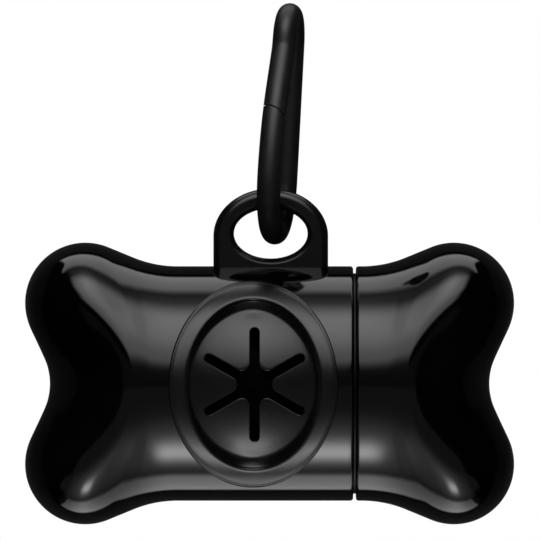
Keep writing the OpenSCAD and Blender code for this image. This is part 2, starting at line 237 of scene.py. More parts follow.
def gloss_plastic():
    """Polished moulded plastic, slightly wavy and smeared."""
    material, nodes, links, shader = node_material("gloss_black")
    smear = noise(nodes, links, 90, 4)
    wave = noise(nodes, links, 28, 1)
    links.new(tint(nodes, links, smear.outputs["Fac"], (0.0006, 0.0006, 0.0007),
                   (0.0012, 0.0012, 0.0013)), shader.inputs["Base Color"])
    links.new(spread(nodes, links, smear.outputs["Fac"], 0.045, 0.075), shader.inputs["Roughness"])
    bumps(nodes, links, [(wave.outputs["Fac"], 0.25, 0.00006)], shader)
    shader.inputs["IOR"].default_value = PLASTIC_IOR
    return material


def satin_plastic(name, roughness, grain, depth, low, high, gleam=0.5, painted_shade_gleam=0.0):
    """Moulded plastic with a fine even grain; the last argument, if given, is the gleam left low down at
    the lug, where the reflection is turned down as painted shade.
    """
    material, nodes, links, shader = node_material(name)
    fine = noise(nodes, links, grain, 2)
    cloud = noise(nodes, links, 160, 4)
    links.new(tint(nodes, links, fine.outputs["Fac"], low, high), shader.inputs["Base Color"])
    links.new(spread(nodes, links, cloud.outputs["Fac"], roughness - 0.03, roughness + 0.04),
              shader.inputs["Roughness"])
    bumps(nodes, links, [(fine.outputs["Fac"], 0.5, depth)], shader)
    shader.inputs["IOR"].default_value = PLASTIC_IOR
    shader.inputs["Specular IOR Level"].default_value = gleam
    # Painted shade: the gleam falls with height towards the lug
    if painted_shade_gleam:
        place, parts = nodes.new("ShaderNodeTexCoord"), nodes.new("ShaderNodeSeparateXYZ")
        links.new(place.outputs["Object"], parts.inputs["Vector"])
        links.new(spread(nodes, links, parts.outputs["Z"], painted_shade_gleam, gleam, *PAINTED_SHADE_Z),
                  shader.inputs["Specular IOR Level"])
    return material


def film_plastic():
    """Thin black film wound tight, with fine wrinkles round the roll."""
    material, nodes, links, shader = node_material("film_black")
    wrinkles = noise(nodes, links, 700, 5, (0.35, 1, 1))
    folds = noise(nodes, links, 120, 3, (0.15, 1, 1))
    links.new(tint(nodes, links, wrinkles.outputs["Fac"], (0.0006, 0.0006, 0.0007),
                   (0.0014, 0.0014, 0.0016)), shader.inputs["Base Color"])
    links.new(spread(nodes, links, folds.outputs["Fac"], 0.5, 0.65), shader.inputs["Roughness"])
    shader.inputs["Specular IOR Level"].default_value = 0.03
    bumps(nodes, links, [(folds.outputs["Fac"], 0.6, 0.0003), (wrinkles.outputs["Fac"], 0.5, 0.0001)],
          shader)
    return material


def cardboard():
    """Paperboard wound in a spiral: fibres, and a seam that runs round the tube."""
    seam_pitch = 0.022
    material, nodes, links, shader = node_material("cardboard")
    fibres = noise(nodes, links, 900, 6, (0.3, 1, 1))
    coordinates = nodes.new("ShaderNodeTexCoord")
    split = nodes.new("ShaderNodeSeparateXYZ")
    links.new(coordinates.outputs["Object"], split.inputs["Vector"])
    raise_z = nodes.new("ShaderNodeMath")
    raise_z.operation = "ADD"
    raise_z.inputs[1].default_value = -ROLL_Z * MM
    links.new(split.outputs["Z"], raise_z.inputs[0])
    angle = nodes.new("ShaderNodeMath")
    angle.operation = "ARCTAN2"
    links.new(raise_z.outputs["Value"], angle.inputs[0])
    links.new(split.outputs["Y"], angle.inputs[1])
    turns = nodes.new("ShaderNodeMath")
    turns.operation = "DIVIDE"
    turns.inputs[1].default_value = 2 * PI
    links.new(angle.outputs["Value"], turns.inputs[0])
    along = nodes.new("ShaderNodeMath")
    along.operation = "MULTIPLY_ADD"
    along.inputs[1].default_value = 1 / seam_pitch
    links.new(split.outputs["X"], along.inputs[0])
    links.new(turns.outputs["Value"], along.inputs[2])
    phase = nodes.new("ShaderNodeMath")
    phase.operation = "PINGPONG"
    phase.inputs[1].default_value = 0.5
    links.new(along.outputs["Value"], phase.inputs[0])
    seam = spread(nodes, links, phase.outputs["Value"], 0, 1, 0.0, 0.02)
    color = nodes.new("ShaderNodeMix")
    color.data_type = "RGBA"
    links.new(seam, color.inputs["Factor"])
    color.inputs["A"].default_value = (0.16, 0.11, 0.065, 1)
    links.new(tint(nodes, links, fibres.outputs["Fac"], (0.36, 0.27, 0.17), (0.52, 0.41, 0.28)),
              color.inputs["B"])
    links.new(color.outputs["Result"], shader.inputs["Base Color"])
    links.new(spread(nodes, links, fibres.outputs["Fac"], 0.8, 0.95), shader.inputs["Roughness"])
    bumps(nodes, links, [(seam, 0.6, 0.00015), (fibres.outputs["Fac"], 0.4, 0.00006)], shader)
    return material


gloss = gloss_plastic()
insert_satin = satin_plastic("insert_satin", 0.26, 5200, 0.000003,
                             (0.002, 0.002, 0.0022), (0.0036, 0.0036, 0.0039))
ring_satin = satin_plastic("ring_satin", 0.42, 5200, 0.000006,
                           (0.002, 0.002, 0.0022), (0.004, 0.004, 0.0044), gleam=0.18)
lug_satin = satin_plastic("lug_satin", 0.2, 5200, 0.000003,
                          (0.003, 0.003, 0.0032), (0.006, 0.006, 0.0063))
# The clip's gleam is turned down near the lug as painted shade
clip_satin = satin_plastic("clip_satin", 0.44, 3400, 0.000016,
                           (0.003, 0.003, 0.0032), (0.01, 0.01, 0.0106), gleam=0.6, painted_shade_gleam=0.05)
film = film_plastic()
board = cardboard()


# ---------- lobed ends ----------

DIP_C = DIP_X + DIP_R
DIP_A = (math.atan2(LOBE_Z, DIP_C - LOBE_X)
         - math.acos((DIP_R + LOBE_R) / math.hypot(DIP_C - LOBE_X, LOBE_Z)))
FLARE_RISE = NECK_R + FLARE_R - LOBE_Z
FLARE_A = (math.atan2(LOBE_X - NECK_HALF, FLARE_RISE)
           - math.acos((LOBE_R + FLARE_R) / math.hypot(LOBE_X - NECK_HALF, FLARE_RISE)))
LOBE_TURN = DIP_A + PI / 2 + FLARE_A
# Stations of the outline: the dip from 0, a straight, the lobe with its highest point at TOP_AT, a
# straight and the flare
DIP_TO, LOBE_FROM, LOBE_TO, FLARE_FROM, FLARE_TO = 4, 5, 17, 18, 22
TOP_AT = LOBE_FROM + (LOBE_TO - LOBE_FROM) * (PI / 2 + DIP_A) / LOBE_TURN


def outline(u, inset):
    """Point of the lobed outline in the front view at station u, with the wall moved in."""
    def dip(a):
        return np.array([DIP_C - (DIP_R + inset) * math.cos(a), (DIP_R + inset) * math.sin(a)])

    def lobe(a):
        return np.array([LOBE_X + (LOBE_R - inset) * math.cos(a), LOBE_Z + (LOBE_R - inset) * math.sin(a)])

    def flare(a):
        r = FLARE_R + inset
        return np.array([NECK_HALF + r * math.sin(a), NECK_R + FLARE_R - r * math.cos(a)])

    if u <= DIP_TO:
        return dip(DIP_A * u / DIP_TO)
    if u < LOBE_FROM:
        return dip(DIP_A) + (lobe(-DIP_A) - dip(DIP_A)) * (u - DIP_TO)
    if u <= LOBE_TO:
        return lobe(LOBE_TURN * (u - LOBE_FROM) / (LOBE_TO - LOBE_FROM) - DIP_A)
    if u < FLARE_FROM:
        start = lobe(LOBE_TURN - DIP_A)
        return start + (flare(FLARE_A) - start) * (u - LOBE_TO)
    return flare(FLARE_A * (FLARE_TO - u) / (FLARE_TO - FLARE_FROM))


def lobed_ring(u, inset, angles, side):
    """Ring of the lobed end at station u: the lobed outline above and below, a plain one in front."""
    lobed = outline(u, inset)
    neck = NECK_R - inset
    if u > TOP_AT:
        plain = np.array([SHOULDER_X - (SHOULDER_X - NECK_HALF) * (u - TOP_AT) / (FLARE_TO - TOP_AT), neck])
    else:
        r = lobed[1] * neck / (LOBE_Z + LOBE_R - inset)
        turn = max(0.0, 1 - (r / neck) ** SHOULDER_POWER) ** (1 / SHOULDER_POWER)
        plain = np.array([SHOULDER_X + (DIP_X - inset - SHOULDER_X) * turn, r])
    c = np.abs(np.cos(angles))
    rise = 1 - LOBE_PINCH * c ** 2 - (1 - LOBE_PINCH) * c ** 4
    x = plain[0] + (lobed[0] - plain[0]) * (1 - 0.5 * c ** 2 - 0.5 * c ** 3)
    r = plain[1] + (lobed[1] - plain[1]) * rise
    k = np.clip((x - BULGE_X) / BULGE_RUN, 0, 1)
    bulge = 1 + LOBE_BULGE * k * k * (3 - 2 * k) * np.sin(angles) ** 2
    return np.column_stack([side * x, -r * np.cos(angles) * bulge, r * np.sin(angles)])


def round_ring(x, r, angles):
    return np.column_stack([np.full(len(angles), x), -r * np.cos(angles), r * np.sin(angles)])


def stations(fine):
    """Stations from near the tip to the neck; fine is 1 outside and less inside."""
    def steps(a, b, n):
        n = max(2, round(n * fine))
        return [a + (b - a) * (i + 1) / n for i in range(n)]

    return (steps(0, DIP_TO, 26) + steps(DIP_TO, LOBE_FROM, 3) + steps(LOBE_FROM, TOP_AT, 62)
            + steps(TOP_AT, LOBE_TO, 12) + steps(LOBE_TO, FLARE_FROM, 5) + steps(FLARE_FROM, FLARE_TO, 26))


AROUND = 192
ring_angles = np.arange(AROUND) * 2 * PI / AROUND


def shell_rows(side, mouth, bore, bore_end):
    """Rings of a shell with one lobed end, from its outside tip over the mouth to its inside tip."""
    rows = [lobed_ring(u, SKIN, ring_angles, side) for u in stations(1)]
    inner, lip = -side, 0.15
    start, radius = side * NECK_HALF, NECK_R - SKIN
    edge = mouth - inner * EDGE_R
    count = max(2, round(abs(edge - start)))
    rows += [round_ring(x, radius, ring_angles) for x in arc(start, edge, count)[1:]]
    for a in arc(0, PI / 2, 7)[1:]:
        rows.append(round_ring(edge + inner * EDGE_R * math.sin(a), radius - EDGE_R * (1 - math.cos(a)),
                               ring_angles))
    rows.append(round_ring(mouth, bore + lip, ring_angles))
    rows.append(round_ring(mouth - inner * lip, bore, ring_angles))
    rows.append(round_ring(bore_end, bore, ring_angles))
    # The whole lobe up to station 15, and from there only what lies beyond the bore
    inside = [u for u in reversed(stations(0.35))
              if u < 15 or abs(outline(u, LOBE_WALL)[0]) > abs(bore_end) + 0.2]
    rows += [lobed_ring(u, LOBE_WALL, ring_angles, side) for u in inside]
    return rows


def shell(name, side, mouth, bore, bore_end):
    points, faces = grid(shell_rows(side, mouth, bore, bore_end), first_pole=(side * (DIP_X - SKIN), 0, 0),
                         last_pole=(side * (DIP_X - LOBE_WALL), 0, 0))
    return add_mesh(name, points, outward(points, faces), gloss)


# ---------- main shell, with its window and lug ----------

def oval(w, h, count):
    t = np.arange(count) * 2 * PI / count
    return np.column_stack([w / 2 * np.cos(t), h / 2 * np.sin(t)])


def window_cutter():
    """Oval prism that opens the shell's front wall behind the insert."""
    front, back = -24, -1
    rim = oval(BEZEL_W - 2 * BEZEL_LAP, BEZEL_H - 2 * BEZEL_LAP, 160) + [OUTLET_X, 0]
    rows = [np.column_stack([rim[:, 0], np.full(len(rim), y), rim[:, 1]]) for y in (front, back)]
    count = len(rim)
    points, faces = grid(rows)
    faces += [tuple(range(count)), tuple(reversed(range(count, 2 * count)))]
    return add_mesh("window_cutter", points, outward(points, faces), gloss)


def lug_outer(t):
    """Point of the lug's outline in direction t, seen from the eye's middle, found by halving."""
    d = direction(t)
    low, high = 3.0, 20.0
    for _ in range(40):
        mid = (low + high) / 2
        x, z = mid * d[0], EYE_Z + mid * d[1]
        over = z - LUG_SPRING
        side, low_by = abs(x) - (LUG_W / 2 - LUG_CORNER_R), LUG_BASE + LUG_CORNER_R - z
        reach = math.hypot(side, low_by) if side > 0 and low_by > 0 else low_by
        inside = abs(x) <= LUG_W / 2 and reach <= LUG_CORNER_R
        if over > 0:
            inside = (x / (LUG_W / 2)) ** 2 + (over / (LUG_TOP - LUG_SPRING)) ** 2 <= 1
        low, high = (mid, high) if inside else (low, mid)
    return low * d


def edge_normals(line):
    """Outward normals of a closed line that runs counter-clockwise."""
    ahead, behind = np.roll(line, -1, axis=0), np.roll(line, 1, axis=0)
    tangent = ahead - behind
    tangent /= np.linalg.norm(tangent, axis=1)[:, None]
    return np.column_stack([tangent[:, 1], -tangent[:, 0]])


def lug_piece():
    """Plate with an oval eye: a closed section carried once round the eye."""
    count = 420
    t = np.arange(count) * 2 * PI / count
    outer = np.array([lug_outer(a) for a in t])
    inner = np.column_stack([EYE_W / 2 * np.cos(t), EYE_H / 2 * np.sin(t)])
    out_n, in_n = edge_normals(outer), edge_normals(inner)
    half, ridge = LUG_T / 2, LUG_RIDGE
    # Reach of the two rounded edges in the plate's plane (w) and along its thickness (t)
    out_w, out_t, in_w, in_t = 1.4, 1.75, 1.1, 1.3
    # Rows of (line, s, y): s says how far into the plate the row lies from the outer or the inner line,
    # or its share of the way across the face
    section = [("o", -ridge, 0.0), ("o", -ridge, -0.06), ("o", 0.0, -0.16), ("o", 0.0, -(half - out_t))]
    section += [("o", out_w * (1 - math.cos(b)), -(half - out_t) - out_t * math.sin(b))
                for b in arc(0, PI / 2, 10)[1:]]
    section += [("f", s, -half) for s in (0.2, 0.4, 0.6, 0.8)]
    section += [("i", in_w * (1 - math.cos(b)), -(half - in_t) - in_t * math.sin(b))
                for b in arc(PI / 2, 0, 8)]
    section += [("i", 0.0, 0.0)]
    section += [(k, s, -y) for k, s, y in reversed(section[1:-1])]
    rows = []
    for kind, s, y in section:
        if kind == "o":
            flat = outer - out_n * s
        elif kind == "i":
            flat = inner + in_n * s
        else:
            a, b = outer - out_n * out_w, inner + in_n * in_w
            flat = a + (b - a) * s
        rows.append(np.column_stack([flat[:, 0] + LUG_X, np.full(count, y), flat[:, 1] + EYE_Z]))
    points, faces = grid(rows, close_rows=True)
    return add_mesh("lug", points, outward(points, faces), lug_satin, 60)


main_shell = shell("main_shell_skin", -1, MOUTH_X, BORE_R, -NECK_HALF)
cut(main_shell, window_cutter(), 35)
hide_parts("main_shell")
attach(main_shell, "dispenser")

lug = lug_piece()
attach(lug, "dispenser")

end_cap = shell("end_cap_skin", 1, CAP_X, CAP_BORE_R, CAP_BORE_END)
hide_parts("end_cap")
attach(end_cap, "cap")


# ---------- outlet insert ----------

def star(steps):
    """Outline of the opening: slots with round ends between petals with rounded tips."""
    points = []
    tip_at = (SLOT_W / 2 + PETAL_R) / math.sin(PI / SLOTS)
    end_at = SLOT_REACH - SLOT_W / 2
    for i in range(SLOTS):
        a = PI / 2 + 2 * PI * i / SLOTS
        b = a + PI / SLOTS
        end, tip = direction(a) * end_at, direction(b) * tip_at
        round_end = [end + SLOT_W / 2 * direction(c) for c in arc(a - PI / 2, a + PI / 2, steps)]
        after = a + 2 * PI / SLOTS
        petal = [tip + PETAL_R * direction(c)
                 for c in arc(a + 1.5 * PI, a + PI / 2 + 2 * PI / SLOTS, steps)]
        inward = [round_end[-1] + (petal[0] - round_end[-1]) * s for s in (0.15, 0.3, 0.45, 0.6, 0.75, 0.9)]
        next_end = direction(after) * end_at + SLOT_W / 2 * direction(after - PI / 2)
        back = [petal[-1] + (next_end - petal[-1]) * s for s in (0.1, 0.25, 0.4, 0.55, 0.7, 0.85)]
        points += round_end + inward + petal + back
    return np.array(points)


def smooth_line(knots, steps):
    """Smooth curve through the knots: a cubic from each to the next, with the slopes of its neighbours."""
    k = np.asarray(knots, float)
    k = np.vstack([2 * k[0] - k[1], k, 2 * k[-1] - k[-2]])
    line = []
    for i in range(1, len(k) - 2):
        for t in np.arange(steps) / steps:
            a, b, c, d = k[i - 1], k[i], k[i + 1], k[i + 2]
            line.append(0.5 * (2 * b + (c - a) * t + (2 * a - 5 * b + 4 * c - d) * t ** 2
                               + (3 * b - a - 3 * c + d) * t ** 3))
    return line + [k[-2]]


# Section of the insert from the foot of the bezel to the edge of the disc: half width, half
# height, and distance from the neck's axis
BEZEL_SECTION = [
    (14.60, 17.90, 20.44), (14.57, 17.87, 20.62), (14.47, 17.77, 20.78), (14.30, 17.60, 20.84),
    (14.16, 17.46, 20.815), (14.06, 17.36, 20.805), (13.90, 17.20, 20.85),
    (13.30, 16.70, 20.89), (12.40, 15.70, 20.89), (11.90, 15.15, 20.86), (11.55, 14.80, 20.74),
    (11.34, 14.56, 20.50), (11.24, 14.28, 20.10), (11.12, 13.60, 19.50), (10.96, 13.00, 19.05),
    (10.74, 12.55, 18.85), (10.40, 12.15, 18.80),
]


def insert_piece():
    """Bezel, dish and pierced disc: one section carried round the star."""
    hole = star(10)
    count = len(hole)
    reach = np.concatenate([[0], np.cumsum(np.linalg.norm(np.diff(hole, axis=0), axis=1))])
    polar = np.unwrap(np.arctan2(hole[:, 1], hole[:, 0]))
    total = reach[-1] + np.linalg.norm(hole[0] - hole[-1])
    even = polar[0] + 2 * PI * reach / total
    # Directions of the section round the star: mostly the points' own, partly even along the outline
    turn = np.maximum.accumulate(0.35 * even + 0.65 * polar)
    way = np.column_stack([np.cos(turn), np.sin(turn)])
    hole_n = edge_normals(hole)
    hole = hole + [STAR_SHIFT - DISH_SHIFT, 0]

    def ellipse(half_w, half_h):
        k = 1 / np.sqrt((way[:, 0] / half_w) ** 2 + (way[:, 1] / half_h) ** 2)
        return way * k[:, None]

    def at(flat, radius):
        """Points of the front view laid on the curve of this radius, with the hollow of the dish."""
        x, z = flat[:, 0], flat[:, 1]
        dish = min(1.0, max(0.0, (DISH_START_R - radius) / DISH_FALL))
        lift = dish * np.minimum(np.abs(x), HOLLOW_HALF_W) ** 2 / (2 * DISH_CURVE)
        y = -np.sqrt((radius + lift) ** 2 - z ** 2)
        return np.column_stack([x + OUTLET_X + dish * DISH_SHIFT, y, z])

    rows = [at(ellipse(w, h), radius) for w, h, radius in smooth_line(BEZEL_SECTION, 4)]
    rim, soft = ellipse(*BEZEL_SECTION[-1][:2]), 0.2
    lip = hole + hole_n * soft
    for s in (0.2, 0.4, 0.6, 0.8, 0.93, 1.0):
        rows.append(at(rim + (lip - rim) * s, DISC_R))
    for step in arc(0, PI / 2, 4)[1:]:
        rows.append(at(hole + hole_n * soft * (1 - math.sin(step)), DISC_R - soft * (1 - math.cos(step))))
    back, plug_r = DISC_R - DISC_T, 20.0
    foot_w, foot_h, foot_r = BEZEL_SECTION[0]
    rows.append(at(hole, back + 0.1))
    rows.append(at(hole + hole_n * 0.1, back))
    plug = ellipse(BEZEL_W / 2 - BEZEL_LAP - FIT, BEZEL_H / 2 - BEZEL_LAP - FIT)
    for s in (0.5, 1.0):
        rows.append(at(hole + (plug - hole) * s, back))
    rows.append(at(plug, plug_r))
    rows.append(at(ellipse(foot_w - 0.1, foot_h - 0.1), foot_r))
    points, faces = grid(rows, close_rows=True)
    return add_mesh("outlet_insert_skin", points, outward(points, faces), insert_satin, 50)


insert = insert_piece()
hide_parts("outlet_insert")
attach(insert, "dispenser")


# ---------- threaded rings ----------

def thread_ridge(name, base, height, first, last):
    """Ridges of a right-hand thread from x first to x last on a cylinder of radius base."""
    profile = ((-0.6, 0), (-0.3, 0.94), (-0.2, 1), (0.2, 1), (0.3, 0.94), (0.6, 0))
    foot = profile[-1][0]
    parts = []
    for start in range(THREAD_STARTS):
        turns = (last - first) / THREAD_LEAD
        steps = round(turns * 96)
        rows = []
        for i in range(steps + 1):
            a = 2 * PI * (turns * i / steps + start / THREAD_STARTS)
            x = first + THREAD_LEAD * turns * i / steps
            fade = min(1.0, i / 6, (steps - i) / 6)
            h = height * (0.02 + 0.98 * math.sin(PI / 2 * fade))
            out = np.array([0, -math.cos(a), math.sin(a)])
            ring = []
            for dx, share in profile:
                ring.append(np.array([x + dx, 0, 0]) + out * (base + h * share))
            sink = -0.02 if height > 0 else 0.02
            ring.append(np.array([x + foot, 0, 0]) + out * (base + sink))
            ring.append(np.array([x - foot, 0, 0]) + out * (base + sink))
            rows.append(np.array(ring))
        count = len(rows[0])
        points, faces = grid(rows)
        faces += [tuple(range(count)), tuple(reversed(range(steps * count, steps * count + count)))]
        parts.append((points, outward(points, faces)))
    points, faces = join_lists(parts)
    return add_mesh(name, points, faces, ring_satin, 25)


def lathe(name, section, material, count=160):
    """A ring from a closed section of (x, radius) points."""
    a = np.arange(count) * 2 * PI / count
    rows = [np.column_stack([np.full(count, x), -r * np.cos(a), r * np.sin(a)]) for x, r in section]
    points, faces = grid(rows, close_rows=True)
    return add_mesh(name, points, outward(points, faces), material, 30)


collar = lathe("thread_collar_ring", [
    (COLLAR_END, COLLAR_IN_R + 0.15), (COLLAR_END, BORE_R - 0.2), (COLLAR_END + 0.15, BORE_R - FIT),
    (MOUTH_X, BORE_R - FIT), (MOUTH_X, FLANGE_R - 0.08), (MOUTH_X + 0.08, FLANGE_R),
    (CAP_X - 0.12, FLANGE_R), (CAP_X - 0.04, FLANGE_R - 0.08), (CAP_X - 0.04, SPIGOT_R + 0.1),
    (CAP_X + 0.06, SPIGOT_R),
    (SPIGOT_END - 0.2, SPIGOT_R), (SPIGOT_END, SPIGOT_R - 0.2), (SPIGOT_END, COLLAR_IN_R + 0.15),
    (SPIGOT_END - 0.15, COLLAR_IN_R), (COLLAR_END + 0.15, COLLAR_IN_R),
], ring_satin)
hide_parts("thread_collar")
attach(collar, "dispenser")

# A negative height makes ridges that stand inward
collar_thread = thread_ridge("collar_thread", SPIGOT_R, THREAD_H, 15.9, 20.85)
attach(collar_thread, "dispenser")
cap_thread = thread_ridge("cap_thread_ridges", RING_IN_R, -THREAD_H, 16.1, 20.85)
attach(cap_thread, "cap_thread")
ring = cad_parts["cap_ring"]
ring.data.materials.clear()
ring.data.materials.append(ring_satin)


# ---------- clip ----------

def clip_point(u, v, w=0.0):
    """Place of a point of the clip's own plane: u across from the spine, v up, w out of the plane."""
    x = (u - BOTTOM_R) * math.cos(CLIP_TURN) + w * math.sin(CLIP_TURN)
    y = (u - BOTTOM_R) * math.sin(CLIP_TURN) - w * math.cos(CLIP_TURN)
    return np.array([
        CLIP_FOOT[0] + x * math.cos(CLIP_LEAN) + v * math.sin(CLIP_LEAN),
        CLIP_FOOT[1] + y,
        CLIP_FOOT[2] - x * math.sin(CLIP_LEAN) + v * math.cos(CLIP_LEAN),
    ])


BEND_V = BOTTOM_R + ROD_R
TOP_V = BEND_V + SPINE_H
KINK = (2 * TOP_R + KINK_R, TOP_V)
NOSE = (KINK[0] - KINK_R * math.cos(SLANT), KINK[1] - KINK_R * math.sin(SLANT))
LEG_R = (NOSE[0] + (NOSE[1] - BEND_V) * math.tan(SLANT) - 2 * BOTTOM_R) / (1 / math.cos(SLANT) - 1)
LEG = (2 * BOTTOM_R - LEG_R, BEND_V)
SLIT_A = math.asin(SLIT_H / LEG_R)
SLIT_AT = (LEG[0] + LEG_R * math.cos(SLIT_A), LEG[1] + LEG_R * math.sin(SLIT_A))
SLIT_RUN = 3.0 / LEG_R  # how far both rods are drawn past the slit before it cuts them
SEAM_A = math.radians(300)  # where the frame and the leg meet in the bottom bend


def bend(centre, r, a0, a1, side, pitch=0.35):
    """Stations (point, outward vector) along a bend in the clip's plane."""
    steps = max(2, math.ceil(abs(a1 - a0) * r / pitch))
    return [((centre[0] + r * math.cos(a), centre[1] + r * math.sin(a)),
             (side * math.cos(a), side * math.sin(a))) for a in arc(a0, a1, steps)]


def eased(path, reach=0.65, pitch=0.3):
    """The path with its changes of curve spread over a short length."""
    centres, outs = (np.array([row[i] for row in path]) for i in (0, 1))
    along = np.concatenate([[0], np.cumsum(np.linalg.norm(np.diff(centres, axis=0), axis=1))])
    even = np.linspace(0, along[-1], round(along[-1] / pitch))
    pick = [np.column_stack([np.interp(even, along, rows[:, i]) for i in (0, 1)])
            for rows in (centres, outs)]
    result = []
    for at in even:
        near = min(reach, (at + 0.01) / 2.5, (along[-1] - at + 0.01) / 2.5)
        weight = np.exp(-((even - at) / near) ** 2 / 2)
        c, n = ((rows * weight[:, None]).sum(axis=0) / weight.sum() for rows in pick)
        result.append((tuple(c), tuple(n / np.linalg.norm(n))))
    return result


def straight(a, b, out, steps):
    return [((a[0] + (b[0] - a[0]) * i / steps, a[1] + (b[1] - a[1]) * i / steps), out)
            for i in range(1, steps)]


def above_slit(u, v, w, grown):
    """How far a point lies outside the bar that forms the arch of the slit."""
    up = v - SLIT_AT[1] + (u - SLIT_AT[0]) * math.tan(SLIT_RISE)
    dv = up * math.cos(SLIT_SLOPE) - w * math.sin(SLIT_SLOPE) + SLIT_ARCH
    dw = up * math.sin(SLIT_SLOPE) + w * math.cos(SLIT_SLOPE)
    return np.hypot(dv, dw) - SLIT_ARCH - grown


def rod(name, path, grown, from_above):
    """Round rod along a path whose last end meets the arch of the slit with a softened edge.

    Over its last blend_run millimetres the rings turn from upright ones to the arch.
    """
    count, soft, blend_run = 48, 0.08, 3.5
    t = np.arange(count) * 2 * PI / count
    centres = np.array([p for p, _ in path])
    outs = np.array([n for _, n in path])
    reach = np.concatenate([[0], np.cumsum(np.linalg.norm(np.diff(centres, axis=0), axis=1))])

    def along(s, angle, r):
        c = np.array([np.interp(s, reach, centres[:, i]) for i in (0, 1)])
        n = np.array([np.interp(s, reach, outs[:, i]) for i in (0, 1)])
        n /= np.linalg.norm(n)
        return c[0] + r * math.cos(angle) * n[0], c[1] + r * math.cos(angle) * n[1], r * math.sin(angle)

    def meeting(angle, r):
        low, high = reach[-1] - 8, reach[-1]
        for _ in range(30):
            mid = (low + high) / 2
            outside = above_slit(*along(mid, angle, r), grown) > 0
            low, high = (mid, high) if outside == from_above else (low, mid)
        return low

    ends = {r: [meeting(a, r) for a in t] for r in (ROD_R, ROD_R - soft, ROD_R * 0.6, ROD_R * 0.3)}
    start = min(ends[ROD_R]) - blend_run
    rows = []
    for s in reach:
        if s < start:
            rows.append([clip_point(*along(s, a, ROD_R)) for a in t])
    for share in np.linspace(0, 1, 12):
        rows.append([clip_point(*along(start + (e - 2 * soft - start) * share, a, ROD_R))
                     for a, e in zip(t, ends[ROD_R])])
    for b in arc(0, PI / 2, 4)[1:]:
        r = ROD_R - soft * (1 - math.cos(b))
        rows.append([clip_point(*along(min(e, f) - soft * (1 - math.sin(b)), a, r))
                     for a, e, f in zip(t, ends[ROD_R], ends[ROD_R - soft])])
    for r in (ROD_R * 0.6, ROD_R * 0.3):
        rows.append([clip_point(*along(e, a, r)) for a, e in zip(t, ends[r])])
    pole = clip_point(*along(meeting(0, 0), 0, 0))
    points, faces = grid(rows, last_pole=pole)
    faces.append(tuple(range(count)))
    return add_mesh(name, points, outward(points, faces), clip_satin, 50)


bottom = (BOTTOM_R, BEND_V)
spine_top = bend((TOP_R, TOP_V), TOP_R, PI, 0, 1, 0.25)
frame_path = (
    bend(bottom, BOTTOM_R, SEAM_A, PI, 1)
    + straight((0, BEND_V), (0, TOP_V), (-1, 0), 40)
    + spine_top
    + bend(KINK, KINK_R, PI, PI + SLANT, -1, 0.2)[1:]
    + straight(NOSE, (LEG[0] + LEG_R * math.cos(SLANT), LEG[1] + LEG_R * math.sin(SLANT)),
               (math.cos(SLANT), math.sin(SLANT)), 12)
    + bend(LEG, LEG_R, SLANT, SLIT_A - SLIT_RUN, 1)
)
leg_path = bend(bottom, BOTTOM_R, SEAM_A, 2 * PI, 1) + bend(LEG, LEG_R, 0, SLIT_A + SLIT_RUN, 1)[1:]

clip_rod = rod("clip_rod", eased(frame_path), SLIT_W / 2, True)
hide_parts("clip_frame")
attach(clip_rod, "clip")

clip_leg = rod("clip_leg", eased(leg_path), -SLIT_W / 2, False)
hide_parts("clip_gate")
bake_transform(clip_leg)


# ---------- bag roll ----------

def roll_piece():
    """Wound film: a step where its outer layer ends, and layered edges on both ends."""
    rng = np.random.default_rng(7)
    count, layers = 144, 38
    step, wave = 0.14, 0.03
    a = np.arange(count) * 2 * PI / count
    skin = ROLL_R - step * a / (2 * PI) - wave * (1 + np.sin(3 * a + 0.6))
    half = ROLL_LEN / 2
    wobble = rng.random((2, layers + 1, 4))

    def ring(x, r):
        return np.column_stack([np.full(count, ROLL_X) + x, -r * np.cos(a), ROLL_Z + r * np.sin(a)])

    def end_rows(sign, end):
        rows = []
        for k in range(layers + 1):
            share = k / layers
            r = CORE_R + FIT + (skin - 0.1 - CORE_R - FIT) * share
            p = wobble[end, k]
            depth = 0.1 + 0.22 * (k % 2) + 0.12 * p[0] + 0.08 * np.sin(2 * a + 6 * p[1]) * p[2]
            rows.append(ring(sign * (half - depth), r))
        return rows

    left = end_rows(-1, 0)
    right = list(reversed(end_rows(1, 1)))
    tube = [ring(x, skin) for x in np.linspace(-half + 0.3, half - 0.3, 24)]
    inner = [ring(x, np.full(count, CORE_R + FIT)) for x in np.linspace(half - 0.4, -half + 0.4, 6)]
    points, faces = grid(left + tube + right + inner, close_rows=True)
    return add_mesh("bag_roll_film", points, outward(points, faces), film, 35)


def core_piece():
    """Cardboard tube with softened rims."""
    count = 96
    a = np.arange(count) * 2 * PI / count
    half, soft = ROLL_LEN / 2, 0.15

    def ring(x, r):
        return np.column_stack([np.full(count, ROLL_X + x), -r * np.cos(a), ROLL_Z + r * np.sin(a)])

    outside = [ring(x, CORE_R) for x in np.linspace(-half + soft, half - soft, 12)]
    inside = [ring(x, CORE_BORE_R) for x in np.linspace(half - soft, -half + soft, 12)]
    rims = [ring(half, CORE_R - soft), ring(half, CORE_BORE_R + soft)]
    rims_back = [ring(-half, CORE_BORE_R + soft), ring(-half, CORE_R - soft)]
    points, faces = grid(outside + rims + inside + rims_back, close_rows=True)
    return add_mesh("roll_core_tube", points, outward(points, faces), board, 50)


roll = roll_piece()
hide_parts("bag_roll")
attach(roll, "roll")
core = core_piece()
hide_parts("roll_core")
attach(core, "roll")


# ---------- studio ----------

